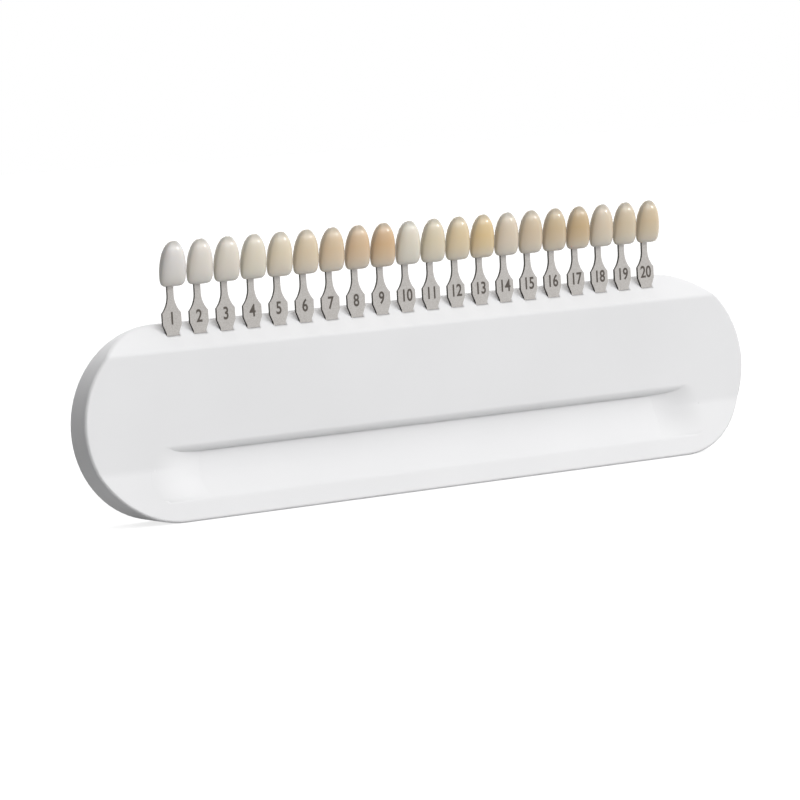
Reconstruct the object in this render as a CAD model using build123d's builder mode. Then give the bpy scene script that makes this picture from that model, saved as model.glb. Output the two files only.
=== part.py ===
from build123d import *
from math import cos, hypot, radians, sin, tan
import os

# Dental shade guide: a moulded holder with a row of lift-out tabs, each a flat steel stem with a tooth.
# Millimetres, +Z up, +X along the row, front towards -Y. Origin at the middle of the foot.

# Holder, seen from the front: a long slot shape on its straight side
holder_length = 237.0
holder_height = 56.0

# Holder section: flat back, foot, lower facet, middle facet and top ramp, as depths from the back
foot_depth = 14.0
lower_crease = (9.2, 15.4)
upper_crease = (7.4, 48.4)
top_depth = 0.8
back_y = foot_depth / 2
end_radius = holder_height / 2

# Edge sizes of the moulding
lower_crease_radius = 6.0
upper_crease_radius = 1.6
rim_chamfer = 0.5

# Finger groove across the lower crease
groove_length = 196.0
groove_centre_x = 1.0
groove_lip = (12.2, 5.9)
groove_floor = (6.3, 19.2)
groove_top_radius = 2.6
groove_end_slope = 38.0
groove_corner_radius = 9.5
groove_edge_radius = 0.5
groove_lip_radius = 2.0
groove_end_margin = 0.2
cut_margin = 2.0

# Tab row
tab_count = 20
tab_pitch = 9.0
tab_depth = 3.4
slot_level = 52.6
slot_width = 4.4
slot_gap = 1.0

# Flat stem, heights above the slot
plate_thickness = 0.8
tongue_width = 4.2
tongue_length = 19.0
paddle_width = 6.2
shoulder_start = 0.7
paddle_start = 3.0
paddle_end = 6.3
neck_start = 11.4
neck_width = 2.0
neck_end = 21.6
tip_chamfer = 0.4

# Tooth sections: height over the incisal edge, width, then front and back in front of the stem
tooth_start = 14.7
tooth_sides = 12
tooth_sections = [
    (0.0, 5.6, 2.3, 1.3),
    (0.5, 7.2, 2.9, 0.9),
    (1.6, 8.1, 3.5, 0.6),
    (4.4, 8.3, 4.4, 0.2),
    (7.2, 7.8, 5.0, 0.2),
    (9.4, 6.7, 5.5, 0.9),
    (11.2, 5.1, 5.7, 2.1),
    (12.4, 3.2, 5.7, 3.4),
    (12.9, 1.6, 5.4, 4.2),
]

# Opening of the back and the cover that closes it
opening_low = 2.2
opening_high = 50.0
opening_end_rim = 2.2
# front of the hollow behind a 2 mm wall, as depths from the back and heights
hollow_front = [
    (10.8, opening_low),
    (9.6, 5.6),
    (4.3, 10.5),
    (4.3, 21.8),
    (6.7, 24.3),
    (5.4, 47.4),
    (3.0, opening_high),
]
cover_thickness = 2.0
cover_gap = 0.12

# Inside the holder: stop shelf, guide bar, dividers, bosses
stop_level = slot_level - tongue_length
shelf_thickness = 1.4
guide_level = 44.0
guide_height = 2.4
divider_thickness = 1.0
rib_gap = 0.1
boss_spots = [(-96.0, 27.0), (-33.0, 27.0), (33.0, 27.0), (96.0, 27.0)]
boss_radius = 3.0
peg_radius = 1.5
peg_length = 3.6
peg_hole_depth = 3.8
rib_spots = (-70.0, 0.0, 70.0)

# Spring strip behind the tongues
strip_thickness = 0.3
strip_low = 34.4
strip_high = 39.0
strip_end_margin = 2.0
finger_width = 3.0
finger_bend = 39.8
finger_contact = 43.0
finger_tip = 44.6
finger_clearance = 0.05
ledge_height = 0.6
ledge_gap = 0.1

half_length = holder_length / 2
row_end = tab_pitch * (tab_count - 1) / 2
tab_y = back_y - tab_depth
tab_places = [tab_pitch * i - row_end for i in range(tab_count)]
divider_places = [tab_pitch * i - row_end - tab_pitch / 2 for i in range(tab_count + 1)]
opening_height = opening_high - opening_low
opening_middle = (opening_high + opening_low) / 2
opening_length = holder_length - 2 * opening_end_rim
cover_inner_y = back_y - cover_thickness

os.makedirs("parts", exist_ok=True)


def section_point(depth, height):
    """A point of the holder's section, from its depth in front of the back plane and its height."""
    return (back_y - depth, height)


def on_rim(edge):
    """True for an edge where the front facets end at the outline, not for a joint line of the outline."""
    middle = edge @ 0.5
    end_centre = min(max(middle.X, end_radius - half_length), half_length - end_radius)
    reach = hypot(middle.X - end_centre, middle.Z - end_radius)
    on_outline = abs(reach - end_radius) < 0.001
    return on_outline and middle.Y < back_y - 0.05 and abs((edge % 0.5).Y) < 0.9


def long_front_edges(part, height):
    """The long edges on the front of a part near one height."""
    return [
        edge
        for edge in part.edges()
        if edge.length > groove_length / 2
        and edge.center().Y < 0
        and abs(edge.center().Z - height) < 0.8
    ]


def finish(built, name):
    """Label one piece and write it as its own file."""
    built.part.label = name
    export_step(built.part, f"parts/{name}.step")


# Finger groove, the body that is scooped out of the front
floor_depth, floor_height = groove_floor
lip_depth, lip_height = groove_lip
groove_top = floor_height + groove_top_radius
groove_mouth_depth = floor_depth + groove_top_radius
with BuildPart() as groove:
    with BuildSketch(Plane.YZ) as groove_section:
        with BuildLine():
            floor_point = section_point(floor_depth, floor_height)
            lip_point = section_point(lip_depth, lip_height)
            mouth_point = section_point(groove_mouth_depth, groove_top)
            TangentArc(floor_point, lip_point, tangent=(0, -1))
            RadiusArc(floor_point, mouth_point, groove_top_radius)
            outside = section_point(foot_depth + cut_margin, groove_top)
            outside_low = section_point(foot_depth + cut_margin, lip_height - cut_margin)
            Polyline(mouth_point, outside, outside_low, lip_point)
        make_face()
    extrude(amount=half_length, both=True)
    # sloping ends: a rounded outline that narrows from the front plane inwards
    mouth_spread = (foot_depth - groove_mouth_depth) * tan(radians(groove_end_slope))
    outline_top = groove_top + mouth_spread + 0.4
    outline_low = lip_height - cut_margin
    with BuildSketch(Plane.XZ.offset(foot_depth - back_y)):
        with Locations((groove_centre_x, (outline_top + outline_low) / 2)):
            RectangleRounded(
                groove_length + 2 * mouth_spread, outline_top - outline_low, groove_corner_radius
            )
    extrude(
        amount=floor_depth - foot_depth - groove_end_margin,
        taper=groove_end_slope,
        mode=Mode.INTERSECT,
    )

# Space inside the holder, less the ribs, shelf, dividers and bosses that stand in it
with BuildPart() as hollow:
    with BuildSketch(Plane.YZ):
        with BuildLine():
            Polyline(
                section_point(0, opening_low),
                *[section_point(depth, height) for depth, height in hollow_front],
                section_point(0, opening_high),
                close=True,
            )
        make_face()
    extrude(amount=half_length, both=True)
    with BuildSketch(Plane.XZ.offset(-back_y)):
        with Locations((0, opening_middle)):
            SlotOverall(opening_length, opening_height)
    extrude(amount=foot_depth, mode=Mode.INTERSECT)
    # dividers stand up from the front wall to the spring strip
    divider_top = opening_high + 1
    with BuildSketch(Plane.XZ.offset(strip_thickness + rib_gap - cover_inner_y)):
        with Locations(*[(x, (stop_level + divider_top) / 2) for x in divider_places]):
            Rectangle(divider_thickness, divider_top - stop_level)
    extrude(amount=foot_depth, mode=Mode.SUBTRACT)
    # shelf, bosses and ribs stop just short of the cover
    with BuildSketch(Plane.XZ.offset(rib_gap - cover_inner_y)):
        with Locations((0, stop_level - shelf_thickness / 2)):
            Rectangle(2 * row_end + tab_pitch, shelf_thickness)
        with Locations(*boss_spots):
            Circle(boss_radius)
        with Locations(*[(x, (stop_level - shelf_thickness) / 2) for x in rib_spots]):
            Rectangle(divider_thickness, stop_level - shelf_thickness)
    extrude(amount=foot_depth, mode=Mode.SUBTRACT)
    # the guide bar stands only as far back as the front of the tongues
    with BuildSketch(Plane.XZ.offset(-(tab_y - slot_gap / 2))):
        with Locations((0, guide_level)):
            Rectangle(2 * row_end + tab_pitch, guide_height)
    extrude(amount=foot_depth, mode=Mode.SUBTRACT)

# Holder moulding
with BuildPart() as front_shell:
    with BuildSketch(Plane.YZ) as holder_section:
        with BuildLine():
            Polyline(
                section_point(0, 0),
                section_point(foot_depth, 0),
                section_point(*lower_crease),
                section_point(*upper_crease),
                section_point(top_depth, holder_height),
                section_point(0, holder_height),
                close=True,
            )
        make_face()
        for crease, radius in (
            (lower_crease, lower_crease_radius),
            (upper_crease, upper_crease_radius),
        ):
            corners = holder_section.vertices().sort_by_distance(section_point(*crease))
            fillet(corners[0], radius)
    extrude(amount=half_length, both=True)
    with BuildSketch(Plane.XZ.offset(-back_y)):
        with Locations((0, holder_height / 2)):
            SlotOverall(holder_length, holder_height)
    extrude(amount=foot_depth, mode=Mode.INTERSECT)
    add(groove.part, mode=Mode.SUBTRACT)
    # soft edges: a small bevel round the front, rounded long edges of the groove
    chamfer(front_shell.edges().filter_by(on_rim), rim_chamfer)
    fillet(long_front_edges(front_shell.part, groove_top), groove_edge_radius)
    fillet(long_front_edges(front_shell.part, lip_height), groove_lip_radius)
    add(hollow.part, mode=Mode.SUBTRACT)
    # tongue slots, straight down through the ramp
    with BuildSketch(Plane.XY.offset(holder_height)):
        with Locations(*[(x, tab_y) for x in tab_places]):
            Rectangle(slot_width, slot_gap)
    extrude(amount=stop_level - holder_height, mode=Mode.SUBTRACT)
    # peg holes in the bosses
    with BuildSketch(Plane.XZ.offset(-cover_inner_y)):
        with Locations(*boss_spots):
            Circle(peg_radius)
    extrude(amount=peg_hole_depth, mode=Mode.SUBTRACT)
finish(front_shell, "front_shell")

# Rear cover with its pegs and the ledge under the spring strip
with BuildPart() as rear_cover:
    with BuildSketch(Plane.XZ.offset(-back_y)):
        with Locations((0, opening_middle)):
            SlotOverall(opening_length - 2 * cover_gap, opening_height - 2 * cover_gap)
    extrude(amount=cover_thickness)
    with BuildSketch(Plane.XZ.offset(-cover_inner_y)):
        with Locations(*boss_spots):
            Circle(peg_radius)
    extrude(amount=peg_length)
    with BuildSketch(Plane.XZ.offset(-cover_inner_y)):
        with Locations((0, strip_low - ledge_gap - ledge_height / 2)):
            Rectangle(2 * row_end + tab_pitch, ledge_height)
    extrude(amount=strip_thickness)
finish(rear_cover, "rear_cover")

# Spring strip, one stamping: a band on the cover and a finger behind each tongue
contact_y = tab_y + plate_thickness / 2 + finger_clearance
band_y = cover_inner_y - strip_thickness
with BuildPart() as retaining_comb:
    with BuildSketch(Plane.XZ.offset(-cover_inner_y)):
        with Locations((0, (strip_low + strip_high) / 2)):
            Rectangle(2 * row_end + finger_width + 2 * strip_end_margin, strip_high - strip_low)
    extrude(amount=strip_thickness)
    with BuildSketch(Plane.YZ.offset(-row_end - finger_width / 2)):
        with BuildLine():
            Polyline(
                (cover_inner_y, strip_high),
                (cover_inner_y, finger_bend),
                (contact_y + strip_thickness, finger_contact),
                (contact_y + strip_thickness + 0.3, finger_tip),
                (contact_y + 0.3, finger_tip),
                (contact_y, finger_contact),
                (band_y, finger_bend),
                (band_y, strip_high),
                close=True,
            )
        make_face()
    finger = extrude(amount=finger_width)
    with Locations(*[(tab_pitch * i, 0, 0) for i in range(1, tab_count)]):
        add(finger)
finish(retaining_comb, "retaining_comb")

# One steel stem: tongue, shoulder, marked paddle and the neck that runs up behind the tooth
with BuildPart() as stem_plate:
    with BuildSketch(Plane.XZ.offset(-plate_thickness / 2)):
        with BuildLine() as stem_edge:
            Polyline(
                (0, -tongue_length),
                (tongue_width / 2 - tip_chamfer, -tongue_length),
                (tongue_width / 2, tip_chamfer - tongue_length),
                (tongue_width / 2, shoulder_start),
                (paddle_width / 2, paddle_start),
                (paddle_width / 2, paddle_end),
            )
            TangentArc((neck_width / 2, neck_start), (paddle_width / 2, paddle_end), tangent=(0, -1))
            Polyline(
                (neck_width / 2, neck_start),
                (neck_width / 2, neck_end - tip_chamfer),
                (neck_width / 2 - tip_chamfer, neck_end),
                (0, neck_end),
            )
            mirror(about=Plane.YZ)
        make_face()
    extrude(amount=plate_thickness)

# One tooth: the faceted body around its oval sections, with a notch for the stem
tooth_points = [
    (
        width / 2 * cos(turn),
        -(front + back) / 2 - (front - back) / 2 * sin(turn),
        tooth_start + height,
    )
    for height, width, front, back in tooth_sections
    for turn in [radians(360 * side / tooth_sides) for side in range(tooth_sides)]
]
with BuildPart() as tooth_form:
    ConvexPolyhedron(tooth_points)
    add(stem_plate.part, mode=Mode.SUBTRACT)

for number, x in enumerate(tab_places, start=1):
    with BuildPart() as tab_stem:
        with Locations((x, tab_y, slot_level)):
            add(stem_plate.part)
    finish(tab_stem, f"tab_stem_{number:02d}")
    with BuildPart() as shade_tooth:
        with Locations((x, tab_y, slot_level)):
            add(tooth_form.part)
    finish(shade_tooth, f"shade_tooth_{number:02d}")
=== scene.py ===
import math

import bmesh
import bpy
from mathutils import Matrix, Vector


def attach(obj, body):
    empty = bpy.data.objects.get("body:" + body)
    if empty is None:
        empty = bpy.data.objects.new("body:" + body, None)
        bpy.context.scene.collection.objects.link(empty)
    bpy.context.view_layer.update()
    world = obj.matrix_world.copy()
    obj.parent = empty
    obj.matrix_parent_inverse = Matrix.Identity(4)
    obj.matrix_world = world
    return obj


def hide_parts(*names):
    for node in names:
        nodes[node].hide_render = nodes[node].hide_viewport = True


# Dental shade guide: a satin white holder, 20 blasted steel stems and a glazed tooth on each.
# Blender works in metres; the sizes below are in millimetres, and mm turns them.

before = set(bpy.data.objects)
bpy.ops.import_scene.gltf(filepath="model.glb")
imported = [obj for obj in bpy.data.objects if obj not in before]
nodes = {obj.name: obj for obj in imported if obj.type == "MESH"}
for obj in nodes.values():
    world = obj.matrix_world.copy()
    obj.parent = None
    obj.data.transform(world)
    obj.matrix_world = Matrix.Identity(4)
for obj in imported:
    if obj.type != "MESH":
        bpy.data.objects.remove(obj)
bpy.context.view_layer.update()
mm = 0.001
print("frame loaded:", len(nodes), "nodes")


def toLinear(hexColour):  # sRGB hex to Blender's linear colour
    channels = [int(hexColour[i:i + 2], 16) / 255 for i in (1, 3, 5)]
    return [c / 12.92 if c <= 0.04045 else ((c + 0.055) / 1.055) ** 2.4 for c in channels] + [1.0]


# sockets of a colour Mix node, which has several of the same name
mixFirst, mixSecond, mixResult = 6, 7, 2


def addNode(tree, kind, settings={}, values={}, links={}):  # a node, its settings, what feeds it
    node = tree.nodes.new("ShaderNode" + kind)
    for name, value in settings.items():
        setattr(node, name, value)
    for socket, value in values.items():
        node.inputs[socket].default_value = value
    for socket, source in links.items():
        tree.links.new(source, node.inputs[socket])
    return node


def newMaterial(name, surfaceValues):  # a material and its Principled shader
    material = bpy.data.materials.new(name)
    material.use_nodes = True
    tree = material.node_tree
    shader = tree.nodes["Principled BSDF"]
    for socket, value in surfaceValues.items():
        shader.inputs[socket].default_value = value
    return material, tree, shader


def setStops(rampNode, stops):  # colour ramp from (place, hex colour) pairs
    elements = rampNode.color_ramp.elements
    while len(elements) < len(stops):
        elements.new(0.5)
    for element, (place, hexColour) in zip(elements, stops):
        element.position = place
        element.color = toLinear(hexColour)


def dress(piece, material):  # one material over the whole piece
    piece.data.materials.clear()
    piece.data.materials.append(material)


# Holder
holder = {
    "colour": "#efeff0",
    "shadeColour": "#ebebec",
    "roughness": (0.57, 0.67),   # over the grain
    "sparkGrain": 0.35,      # mm, grit of the spark-eroded mould, drawn coarse enough to show
    "grainHeight": 0.010,    # mm
    "grainStrength": 0.5,
    "flowMark": 60.0,        # mm, slow change of tone along the moulding
    "softEdge": 0.9,         # mm, how far the polished edges of the mould round off
}


def satinWhiteAbs(name, setup):
    # injection-moulded ABS from a fine spark-eroded mould: an even, slightly soft white with a
    # broad, dull sheen, and edges rounded by the polish of the mould
    material, tree, shader = newMaterial(name, {"IOR": 1.53, "Specular IOR Level": 0.35})
    place = addNode(tree, "TexCoord")
    flow = addNode(tree, "TexNoise", values={
        "Scale": 1 / (setup["flowMark"] * mm), "Detail": 2.0},
        links={"Vector": place.outputs["Object"]})
    tone = addNode(tree, "ValToRGB", links={"Fac": flow.outputs["Fac"]})
    setStops(tone, [(0.35, setup["shadeColour"]), (0.65, setup["colour"])])
    grain = addNode(tree, "TexNoise", values={
        "Scale": 1 / (setup["sparkGrain"] * mm), "Detail": 3.0},
        links={"Vector": place.outputs["Object"]})
    shiniest, dullest = setup["roughness"]
    dull = addNode(tree, "MapRange", values={"To Min": shiniest, "To Max": dullest},
                   links={"Value": grain.outputs["Fac"]})
    bump = addNode(tree, "Bump", values={
        "Strength": setup["grainStrength"], "Distance": setup["grainHeight"] * mm},
        links={"Height": grain.outputs["Fac"]})
    if setup["softEdge"]:
        rounded = addNode(tree, "Bevel", {"samples": 6}, {"Radius": setup["softEdge"] * mm})
        tree.links.new(rounded.outputs["Normal"], bump.inputs["Normal"])
    tree.links.new(tone.outputs["Color"], shader.inputs["Base Color"])
    tree.links.new(dull.outputs["Result"], shader.inputs["Roughness"])
    tree.links.new(bump.outputs["Normal"], shader.inputs["Normal"])
    return material


holderPlastic = satinWhiteAbs("satinWhiteAbs", holder)
dress(nodes["front_shell"], holderPlastic)
dress(nodes["rear_cover"], holderPlastic)
print("holder dressed")

# The groove runs out softly at both ends: a faired insert lies over each steep end wall.
# Depths are in front of the flat back and heights above the foot, both in mm.
groove = {
    "back": 7.0,             # where the flat back stands
    "foot": (14.0, 0.0),     # depth and height of the section's corners
    "crease": (9.2, 15.4),
    "brow": (7.4, 48.4),
    "lip": (12.2, 5.9),
    "floor": (6.3, 19.2),
    "topRadius": 2.6,
    "middle": 1.0,
    "mouth": (101.98, 3.9, 26.18, 9.5),  # half length, low, top, corner radius at the foot's depth
    "endSlope": 38.0,        # degrees
    "runOut": 17.0,          # length of the soft end
    "overlap": 1.3,          # how far the insert reaches past the mouth's edge, inside the wall
    "proud": 0.015,          # covers the mouth's edge at the outer end of the insert
    "sink": 0.02,            # keeps the insert just under the moulding at its inner end
    "lipSink": 0.11,         # and under the rounded lip below
    "lipBand": 0.9,
    "thickness": 0.8,
    "rows": (26, 12),        # along the lower and the upper arc
    "columns": 44,
    "sharpFrom": 35.0,       # degrees between faces where an edge stays sharp
}


def facetDepth(height, setup):  # the front facets without the groove
    foot, crease, brow = setup["foot"], setup["crease"], setup["brow"]
    low, high = (foot, crease) if height < crease[1] else (crease, brow)
    return low[0] + (high[0] - low[0]) * (height - low[1]) / (high[1] - low[1])


def grooveSection(setup):  # (height, depth) along the scooped section, from the lip to the top edge
    floorDepth, floorHeight = setup["floor"]
    reach, drop = setup["lip"][0] - floorDepth, floorHeight - setup["lip"][1]
    radius = (reach ** 2 + drop ** 2) / (2 * reach)
    sweep = math.asin(drop / radius)
    lowRows, highRows = setup["rows"]
    points = []
    for i in range(lowRows):
        turn = sweep * (1 - i / lowRows)
        points.append((floorHeight - radius * math.sin(turn),
                       floorDepth + radius * (1 - math.cos(turn))))
    for i in range(highRows + 1):
        turn = math.radians(90) * i / highRows
        points.append((floorHeight + setup["topRadius"] * math.sin(turn),
                       floorDepth + setup["topRadius"] * (1 - math.cos(turn))))
    return points


def mouthEnd(height, setup):  # half length of the groove's mouth on the facets, at this height
    halfLength, low, top, radius = setup["mouth"]
    slope = math.tan(math.radians(setup["endSlope"]))
    inset = (setup["foot"][0] - facetDepth(height, setup)) * slope
    radius -= inset
    corner = max(low + inset + radius - height, height - (top - inset - radius), 0)
    return halfLength - inset - radius + math.sqrt(max(radius ** 2 - corner ** 2, 0))


def grooveEnd(name, side, setup, material):  # side is -1 for the left end and 1 for the right
    cage = bmesh.new()
    skins = ([], [])
    columns = setup["columns"]
    for height, deep in grooveSection(setup):
        full = facetDepth(height, setup)
        deep = min(deep, full)
        end = mouthEnd(height, setup)
        rows = ([], [])
        for i in range(columns + 1):
            inwards = -setup["overlap"] + (setup["runOut"] + setup["overlap"]) * i / columns
            share = min(max(inwards / setup["runOut"], 0), 1)
            soft = share * share * (3 - 2 * share)
            x = setup["middle"] + side * (end - inwards)
            nearLip = max(1 - (height - setup["lip"][1]) / setup["lipBand"], 0)
            front = full + (deep - full) * soft + setup["proud"]
            front -= (setup["proud"] + setup["sink"]) * soft + setup["lipSink"] * nearLip
            for row, depth in zip(rows, (front, deep - setup["thickness"])):
                row.append(cage.verts.new((x * mm, (setup["back"] - depth) * mm, height * mm)))
        for skin, row in zip(skins, rows):
            skin.append(row)
    for skin in skins:
        for low, high in zip(skin, skin[1:]):
            for i in range(columns):
                cage.faces.new((low[i], low[i + 1], high[i + 1], high[i]))
    front, back = skins
    for i in range(columns):
        for end in (0, -1):
            cage.faces.new((front[end][i], front[end][i + 1], back[end][i + 1], back[end][i]))
    for lowFront, highFront, lowBack, highBack in zip(front, front[1:], back, back[1:]):
        for i in (0, -1):
            cage.faces.new((lowFront[i], highFront[i], highBack[i], lowBack[i]))
    bmesh.ops.recalc_face_normals(cage, faces=cage.faces)
    for edge in cage.edges:
        edge.smooth = edge.calc_face_angle(0) < math.radians(setup["sharpFrom"])
    for face in cage.faces:
        face.smooth = True
    mesh = bpy.data.meshes.new(name)
    cage.to_mesh(mesh)
    cage.free()
    piece = bpy.data.objects.new(name, mesh)
    bpy.context.scene.collection.objects.link(piece)
    dress(piece, material)
    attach(piece, "holder")


insertPlastic = satinWhiteAbs("satinWhiteAbsInsert", {**holder, "softEdge": 0})
grooveEnd("groove_end_left", -1, groove, insertPlastic)
grooveEnd("groove_end_right", 1, groove, insertPlastic)
print("groove ends faired")

# Spring strip
strip = {
    "colour": "#a9a8a6",
    "darkLine": "#9b9a98",
    "roughness": (0.26, 0.40),
    "rollLine": 0.25,        # mm between the lines
    "stretch": 0.04,         # along the strip, which draws the noise out into lines
}


def rolledSpringSteel(setup):
    # cold-rolled stainless spring strip: grey metal with fine straight lines from the rolls
    material, tree, shader = newMaterial("rolledSpringSteel", {"Metallic": 1.0})
    place = addNode(tree, "TexCoord")
    stretch = addNode(tree, "Mapping", values={"Scale": (setup["stretch"], 1.0, 1.0)},
                      links={"Vector": place.outputs["Object"]})
    lines = addNode(tree, "TexNoise", values={
        "Scale": 1 / (setup["rollLine"] * mm), "Detail": 2.0},
        links={"Vector": stretch.outputs["Vector"]})
    tone = addNode(tree, "ValToRGB", links={"Fac": lines.outputs["Fac"]})
    setStops(tone, [(0.3, setup["darkLine"]), (0.7, setup["colour"])])
    shiniest, dullest = setup["roughness"]
    dull = addNode(tree, "MapRange", values={"To Min": shiniest, "To Max": dullest},
                   links={"Value": lines.outputs["Fac"]})
    tree.links.new(tone.outputs["Color"], shader.inputs["Base Color"])
    tree.links.new(dull.outputs["Result"], shader.inputs["Roughness"])
    return material


dress(nodes["retaining_comb"], rolledSpringSteel(strip))
print("spring strip dressed")

# Tab row
tabs = {
    "count": 20,
    "pitch": 9.0,
    "y": 3.6,                # mm, middle of the stem plate
    "slotLevel": 52.6,
    "plateThickness": 0.8,
}
tabPlaces = [tabs["pitch"] * (i - (tabs["count"] - 1) / 2) for i in range(tabs["count"])]

stem = {
    "colour": "#b7b4b1",
    "darkGrain": "#a39f9b",
    # cut edges: darker for the rough shear, and darkened further as painted shade on the plate's
    # sides
    "shearAndShadeColour": "#45423f",
    "roughness": (0.40, 0.56),
    "blastGrain": 0.22,      # mm, bead-blast dimples, drawn about twice their size to show
    "dimple": 0.012,         # mm deep
    "dimpleStrength": 0.6,
    "shearAndShadeFrom": (0.3, 0.7),  # how far a surface faces front or back: dark sheared edge and painted shade below, face above
}


def blastedStainless(setup):
    # stamped stainless sheet, bead blasted on its faces: warm matt grey with a fine grain; the
    # sheared edges are painted dark: a rougher cut, and painted shade on the plate's sides
    material, tree, shader = newMaterial("blastedStainless", {"Metallic": 1.0})
    place = addNode(tree, "TexCoord")
    grain = addNode(tree, "TexNoise", values={
        "Scale": 1 / (setup["blastGrain"] * mm), "Detail": 4.0},
        links={"Vector": place.outputs["Object"]})
    tone = addNode(tree, "ValToRGB", links={"Fac": grain.outputs["Fac"]})
    setStops(tone, [(0.32, setup["darkGrain"]), (0.62, setup["colour"])])
    sides = addNode(tree, "SeparateXYZ", links={"Vector": place.outputs["Normal"]})
    faceOn = addNode(tree, "Math", {"operation": "ABSOLUTE"}, links={0: sides.outputs["Y"]})
    edge, face = setup["shearAndShadeFrom"]
    # edges darkened in colour: partly the rough shear, partly painted shade on the plate's sides
    shearAndShadeMask = addNode(tree, "MapRange", values={
        "From Min": edge, "From Max": face, "To Min": 1.0, "To Max": 0.0},
        links={"Value": faceOn.outputs["Value"]})
    colour = addNode(tree, "Mix", {"data_type": "RGBA"},
                     {mixSecond: toLinear(setup["shearAndShadeColour"])},
                     {"Factor": shearAndShadeMask.outputs["Result"], mixFirst: tone.outputs["Color"]})
    shiniest, dullest = setup["roughness"]
    dull = addNode(tree, "MapRange", values={"To Min": shiniest, "To Max": dullest},
                   links={"Value": grain.outputs["Fac"]})
    bump = addNode(tree, "Bump", values={
        "Strength": setup["dimpleStrength"], "Distance": setup["dimple"] * mm},
        links={"Height": grain.outputs["Fac"]})
    tree.links.new(colour.outputs[mixResult], shader.inputs["Base Color"])
    tree.links.new(dull.outputs["Result"], shader.inputs["Roughness"])
    tree.links.new(bump.outputs["Normal"], shader.inputs["Normal"])
    return material


stemSteel = blastedStainless(stem)
for number in range(1, tabs["count"] + 1):
    dress(nodes[f"tab_stem_{number:02d}"], stemSteel)
print("stems dressed")

# Numbers on the paddles
numbers = {
    "height": 3.5,           # mm, digit height
    "fontShare": 0.69,       # height of the built-in font's digits, as a share of its size
    "middle": 4.6,           # mm above the slot
    "colour": "#5d5650",
    "darkPatch": "#4f4842",
    "patch": 0.4,            # mm
    "roughness": 0.7,
    "proud": 0.02,           # mm, thickness of the etched oxide as drawn
    "squeeze": 0.82,         # width of a digit against the font's own
    "boldness": 0.10,        # mm added round each stroke
}


def etchedOxide(setup):
    # laser-marked oxide on stainless: a flat brown-grey, a little uneven in its tone
    material, tree, shader = newMaterial("etchedOxide", {"Roughness": setup["roughness"]})
    place = addNode(tree, "TexCoord")
    patches = addNode(tree, "TexNoise", values={
        "Scale": 1 / (setup["patch"] * mm), "Detail": 3.0},
        links={"Vector": place.outputs["Object"]})
    tone = addNode(tree, "ValToRGB", links={"Fac": patches.outputs["Fac"]})
    setStops(tone, [(0.3, setup["darkPatch"]), (0.7, setup["colour"])])
    tree.links.new(tone.outputs["Color"], shader.inputs["Base Color"])
    return material


def stemNumber(number, x, setup, material):
    words = bpy.data.curves.new("digits", "FONT")
    words.body = str(number)
    words.align_x = "CENTER"
    words.align_y = "CENTER"
    words.size = setup["height"] * mm / setup["fontShare"]
    words.extrude = setup["proud"] * mm / 2
    words.offset = setup["boldness"] * mm
    words.resolution_u = 4
    draft = bpy.data.objects.new("digits", words)
    mesh = bpy.data.meshes.new_from_object(draft)
    bpy.data.objects.remove(draft)
    mesh.transform(Matrix.Diagonal((setup["squeeze"], 1, 1, 1)))
    mesh.transform(Matrix.Rotation(math.radians(90), 4, "X"))
    piece = bpy.data.objects.new(f"stem_number_{number:02d}", mesh)
    bpy.context.scene.collection.objects.link(piece)
    front = tabs["y"] - tabs["plateThickness"] / 2
    middle = tabs["slotLevel"] + setup["middle"]
    piece.location = Vector((x, front - setup["proud"] / 2, middle)) * mm
    dress(piece, material)
    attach(piece, f"tab_{number:02d}")


markInk = etchedOxide(numbers)
for number, x in enumerate(tabPlaces, start=1):
    stemNumber(number, x, numbers, markInk)
print("numbers placed")

# Teeth
# Rings of the cage: height over the slot, width, and how far its front and back stand in front of
# the stem's middle
tooth = {
    "rings": [
        (13.90, 4.6, 2.05, 1.35),
        (14.12, 6.6, 2.65, 1.00),
        (14.90, 8.1, 3.35, 0.64),
        (16.6, 8.65, 4.05, 0.42),
        (18.8, 8.60, 4.60, 0.36),
        (21.0, 8.20, 5.05, 0.45),
        (23.0, 7.35, 5.20, 0.80),
        (24.7, 6.05, 4.98, 1.40),
        (25.9, 4.50, 4.50, 2.00),
        (26.7, 2.90, 4.02, 2.60),
        (26.98, 1.2, 3.75, 3.00),
    ],
    "widest": 0.42,          # share of the depth, from the back, where the tooth is widest
    "fullness": 2.35,        # 2 is an oval, more is squarer
    "roundPoints": 20,
}
enamel = {
    "roughness": 0.22,
    "reach": (1.2, 0.9, 0.6),    # mm that red, green and blue light travels inside
    "bottom": 14.0,          # mm over the slot, where the colour ramp starts
    "top": 27.0,             # and where it ends
    "edgeGrey": "#cfcbc5",   # towards the biting edge
    "paleNeckAndHighlight": "#ebe9e5",   # just inside the rim at the neck: a paler neck tone with a painted highlight band
    "rimGrey": "#a9a69f",    # where only clear enamel is left
    # place up the tooth, second colour, and its share over the sample's own shade
    "stops": [
        (0.0, "edgeGrey", 0.75), (0.12, "edgeGrey", 0.5), (0.30, "edgeGrey", 0.2),
        # the pale band at 0.74 to 0.84 under the neck is partly a painted highlight
        (0.52, "edgeGrey", 0.0), (0.74, "paleNeckAndHighlight", 0.10), (0.84, "paleNeckAndHighlight", 0.30),
        (0.93, "rimGrey", 0.5), (1.0, "rimGrey", 0.8),
    ],
    "front": (0.0, -0.995, -0.10),   # the way the crown faces
    "rimMix": 0.75,
    "rimTone": 0.6,          # how grey the rim is
    "rimStart": 0.80,        # cosine of the turn from the front where the rim begins
    "rimFull": 0.35,
    "ripple": 0.55,          # mm between the faint growth lines across the front
    "rippleHeight": 0.006,   # mm
    "rippleStrength": 0.35,
}


def mixHex(first, second, share):
    pairs = [(int(first[i:i + 2], 16), int(second[i:i + 2], 16)) for i in (1, 3, 5)]
    return "#" + "".join(f"{round(a + (b - a) * share):02x}" for a, b in pairs)


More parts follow.
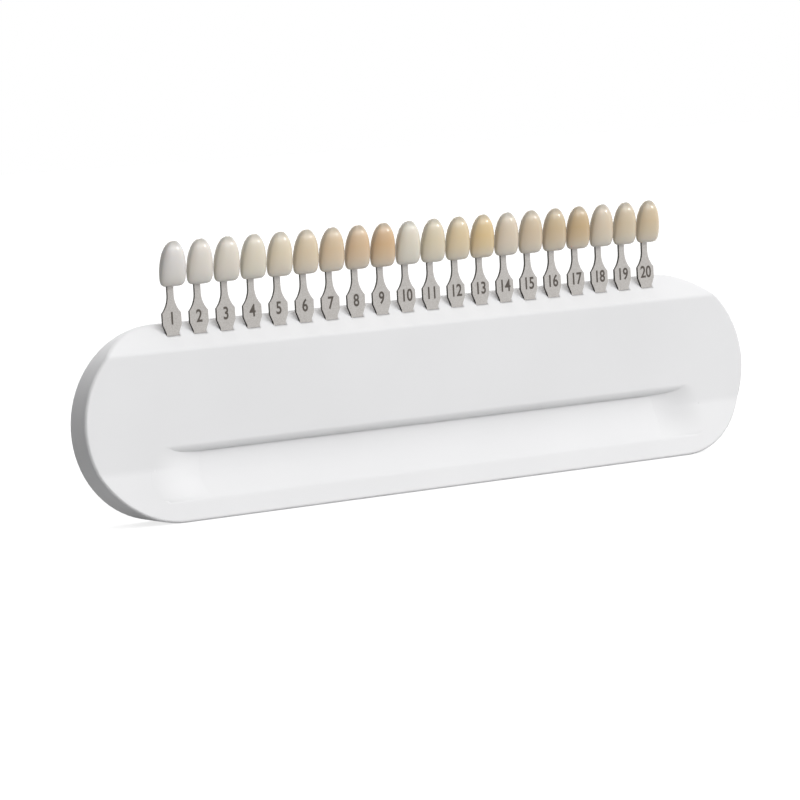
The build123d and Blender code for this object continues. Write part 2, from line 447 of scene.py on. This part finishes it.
# samples in each family, and the colour in the middle of its lightest and its darkest one
shadeFamilies = [
    (4, "#e4e0dc", "#e6dcc8"),   # bleached
    (5, "#e4d6bc", "#d8b488"),   # reddish brown
    (4, "#e4dcca", "#e2c692"),   # reddish yellow
    (4, "#e0d0b8", "#ccb084"),   # grey
    (3, "#decdb4", "#d7c2a0"),   # reddish grey
]
toothShades = [mixHex(light, dark, i / (count - 1))
               for count, light, dark in shadeFamilies for i in range(count)]


def glazedCeramic(number, shade, setup):
    # layered ceramic under a clear glaze: a warm opaque core, greyer where only the translucent
    # enamel is left
    material, tree, shader = newMaterial(f"glazedCeramic{number:02d}", {
        "Roughness": setup["roughness"], "IOR": 1.52, "Subsurface Weight": 0.25,
        "Subsurface Radius": [reach * mm for reach in setup["reach"]], "Subsurface Scale": 1.0,
        "Coat Weight": 0.35, "Coat Roughness": 0.12,
    })
    place = addNode(tree, "TexCoord")
    # how far the surface turns away from the front: the clear enamel shows as a grey rim there
    turned = addNode(tree, "VectorMath", {"operation": "DOT_PRODUCT"}, {1: setup["front"]},
                     {0: place.outputs["Normal"]})
    rim = addNode(tree, "MapRange", {"interpolation_type": "SMOOTHSTEP"}, {
        "From Min": setup["rimStart"], "From Max": setup["rimFull"],
        "To Min": 0.0, "To Max": setup["rimMix"]},
        {"Value": turned.outputs["Value"]})
    axes = addNode(tree, "SeparateXYZ", links={"Vector": place.outputs["Object"]})
    height = addNode(tree, "MapRange", values={
        "From Min": setup["bottom"] * mm, "From Max": setup["top"] * mm},
        links={"Value": axes.outputs["Z"]})
    body = addNode(tree, "ValToRGB", links={"Fac": height.outputs["Result"]})
    # the colour up the tooth holds a paler band under the neck, partly a painted highlight
    setStops(body, [(at, mixHex(shade, setup[tint], share)) for at, tint, share in setup["stops"]])
    rimColour = toLinear(mixHex(shade, setup["rimGrey"], setup["rimTone"]))
    colour = addNode(tree, "Mix", {"data_type": "RGBA"}, {mixSecond: rimColour},
                     {"Factor": rim.outputs["Result"], mixFirst: body.outputs["Color"]})
    # the Wave node repeats every 0.314 units at a scale of 1
    waves = addNode(tree, "TexWave", {"bands_direction": "Z"}, {
        "Scale": 0.314 / (setup["ripple"] * mm), "Distortion": 2.5,
        "Detail": 2.0, "Detail Scale": 1.5},
        {"Vector": place.outputs["Object"]})
    bump = addNode(tree, "Bump", values={
        "Strength": setup["rippleStrength"], "Distance": setup["rippleHeight"] * mm},
        links={"Height": waves.outputs["Fac"]})
    tree.links.new(colour.outputs[mixResult], shader.inputs["Base Color"])
    tree.links.new(bump.outputs["Normal"], shader.inputs["Normal"])
    return material


def toothMesh(setup):  # rings of one tooth, closed at both ends, for a subdivision surface
    cage = bmesh.new()
    count = setup["roundPoints"]
    power = 2 / setup["fullness"]
    rings = []
    for height, width, front, back in setup["rings"]:
        middle = back + (front - back) * setup["widest"]
        ring = []
        for i in range(count):
            angle = 2 * math.pi * i / count
            across, along = math.cos(angle), math.sin(angle)
            reach = front - middle if along > 0 else middle - back
            x = math.copysign(abs(across) ** power, across) * width / 2
            y = -(middle + math.copysign(abs(along) ** power, along) * reach)
            ring.append(cage.verts.new((x * mm, y * mm, height * mm)))
        rings.append(ring)
    for low, high in zip(rings, rings[1:]):
        for i in range(count):
            j = (i + 1) % count
            cage.faces.new((low[j], low[i], high[i], high[j]))
    cage.faces.new(rings[0])
    cage.faces.new(list(reversed(rings[-1])))
    bmesh.ops.recalc_face_normals(cage, faces=cage.faces)
    mesh = bpy.data.meshes.new("toothCage")
    cage.to_mesh(mesh)
    cage.free()
    mesh.shade_smooth()
    return mesh


for number, (x, shade) in enumerate(zip(tabPlaces, toothShades), start=1):
    piece = bpy.data.objects.new(f"glazed_tooth_{number:02d}", toothMesh(tooth))
    bpy.context.scene.collection.objects.link(piece)
    piece.location = Vector((x, tabs["y"], tabs["slotLevel"])) * mm
    smooth = piece.modifiers.new("smooth", "SUBSURF")
    smooth.levels = smooth.render_levels = 2
    dress(piece, glazedCeramic(number, shade, enamel))
    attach(piece, f"tab_{number:02d}")
    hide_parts(f"shade_tooth_{number:02d}")
print("teeth built")

# Studio
studio = {
    "domeLow": 0.04,         # light from the dark side of the tent
    "domeHigh": 1.27,        # light from its bright side
    "brightSide": (0.72, -0.80, 0.34),
    "domeSpan": (-0.1, 0.9),     # cosine from the bright side, between which the light changes
    "floorSize": 8.0,        # m
    "floorColour": "#a0a0a0",
    "floorGlow": 0.80,       # share of white that the camera sees over the floor's own light
    "lamps": [
        # name, towards the lamp from the holder, strength, how wide it looks in degrees
        ("frontSoftLight", (0.20, -0.70, 0.50), 0.62, 44),
        ("glintLight", (0.69, -0.62, 0.36), 0.40, 9),
        ("rearSoftLight", (0.30, 0.92, 0.22), 1.25, 36),
        ("backSoftLight", (-0.05, 0.55, 0.80), 0.96, 50),
    ],
}


def whiteToEye(tree):  # 1 for the rays that should see a white background, 0 for the rest
    path = addNode(tree, "LightPath")
    seen = addNode(tree, "Math", {"operation": "ADD", "use_clamp": True},
                   links={0: path.outputs["Is Camera Ray"], 1: path.outputs["Is Glossy Ray"]})
    through = addNode(tree, "Math", {"operation": "ADD", "use_clamp": True},
                      links={0: seen.outputs["Value"], 1: path.outputs["Is Transmission Ray"]})
    return through.outputs["Value"]


def paperFloor(setup):
    # matt white paper sweep: no sheen, takes the soft shadow of the holder
    material = bpy.data.materials.new("paperFloor")
    material.use_nodes = True
    tree = material.node_tree
    tree.nodes.remove(tree.nodes["Principled BSDF"])
    paper = addNode(tree, "BsdfDiffuse", values={"Color": toLinear(setup["floorColour"])})
    share = addNode(tree, "Math", {"operation": "MULTIPLY"}, {1: setup["floorGlow"]},
                    {0: whiteToEye(tree)})
    glow = addNode(tree, "Emission", links={"Strength": share.outputs["Value"]})
    both = addNode(tree, "AddShader", links={0: paper.outputs["BSDF"], 1: glow.outputs["Emission"]})
    tree.links.new(both.outputs["Shader"], tree.nodes["Material Output"].inputs["Surface"])
    return material


def paperSweep(setup):
    half = setup["floorSize"] / 2
    mesh = bpy.data.meshes.new("paperSweep")
    corners = [(-half, -half, 0), (half, -half, 0), (half, half, 0), (-half, half, 0)]
    mesh.from_pydata(corners, [], [(0, 1, 2, 3)])
    floor = bpy.data.objects.new("paper_sweep", mesh)
    bpy.context.scene.collection.objects.link(floor)
    dress(floor, paperFloor(setup))


def studioWorld(setup):  # a light tent, brighter towards one side, that shows as plain white itself
    world = bpy.data.worlds.new("studio")
    bpy.context.scene.world = world
    world.use_nodes = True
    tree = world.node_tree
    background = tree.nodes["Background"]
    background.inputs["Color"].default_value = toLinear("#ffffff")
    place = addNode(tree, "TexCoord")
    brightSide = Vector(setup["brightSide"]).normalized()
    side = addNode(tree, "VectorMath", {"operation": "DOT_PRODUCT"}, {1: brightSide},
                   {0: place.outputs["Generated"]})
    darkFrom, brightFrom = setup["domeSpan"]
    dome = addNode(tree, "MapRange", {"interpolation_type": "SMOOTHSTEP"}, {
        "From Min": darkFrom, "From Max": brightFrom,
        "To Min": setup["domeLow"], "To Max": setup["domeHigh"]},
        {"Value": side.outputs["Value"]})
    level = addNode(tree, "Mix", {"data_type": "FLOAT"}, {3: 1.0},
                    {0: whiteToEye(tree), 2: dome.outputs["Result"]})
    tree.links.new(level.outputs[0], background.inputs["Strength"])


def studioLamps(setup):  # far, wide lamps, so the light is even over the whole row
    for name, towards, strength, width in setup["lamps"]:
        lamp = bpy.data.lights.new(name, "SUN")
        lamp.energy, lamp.angle = strength, math.radians(width)
        stand = bpy.data.objects.new(name, lamp)
        bpy.context.scene.collection.objects.link(stand)
        stand.location = towards
        stand.rotation_euler = Vector(towards).to_track_quat("Z", "Y").to_euler()


paperSweep(studio)
studioWorld(studio)
studioLamps(studio)
print("studio lit")

# Camera
camera = {
    "azimuth": 33.92,        # degrees, round the holder from its front towards its left end
    "elevation": 5.14,
    "roll": -3.26,
    "distance": 1.0945,      # m from the aim point
    "aim": (-4.59, 9.86, 25.82),  # mm
    "lens": 164.62,          # mm on a 36 mm sensor
}


def placeCamera(setup):
    turn, lift, roll = (math.radians(setup[name]) for name in ("azimuth", "elevation", "roll"))
    level = math.cos(lift)
    ahead = Vector((math.sin(turn) * level, math.cos(turn) * level, -math.sin(lift)))
    levelRight = Vector((math.cos(turn), -math.sin(turn), 0))
    levelUp = levelRight.cross(ahead)
    right = levelRight * math.cos(roll) + levelUp * math.sin(roll)
    up = levelUp * math.cos(roll) - levelRight * math.sin(roll)
    data = bpy.data.cameras.new("photoCamera")
    data.sensor_width = 36
    data.lens = setup["lens"]
    data.clip_start, data.clip_end = 0.05, 30
    eye = bpy.data.objects.new("photoCamera", data)
    bpy.context.scene.collection.objects.link(eye)
    eye.matrix_world = Matrix.Translation(Vector(setup["aim"]) * mm - ahead * setup["distance"]) @ \
        Matrix((right, up, -ahead)).transposed().to_4x4()
    bpy.context.scene.camera = eye


placeCamera(camera)
bpy.context.scene.view_settings.view_transform = "Standard"
print("camera placed")
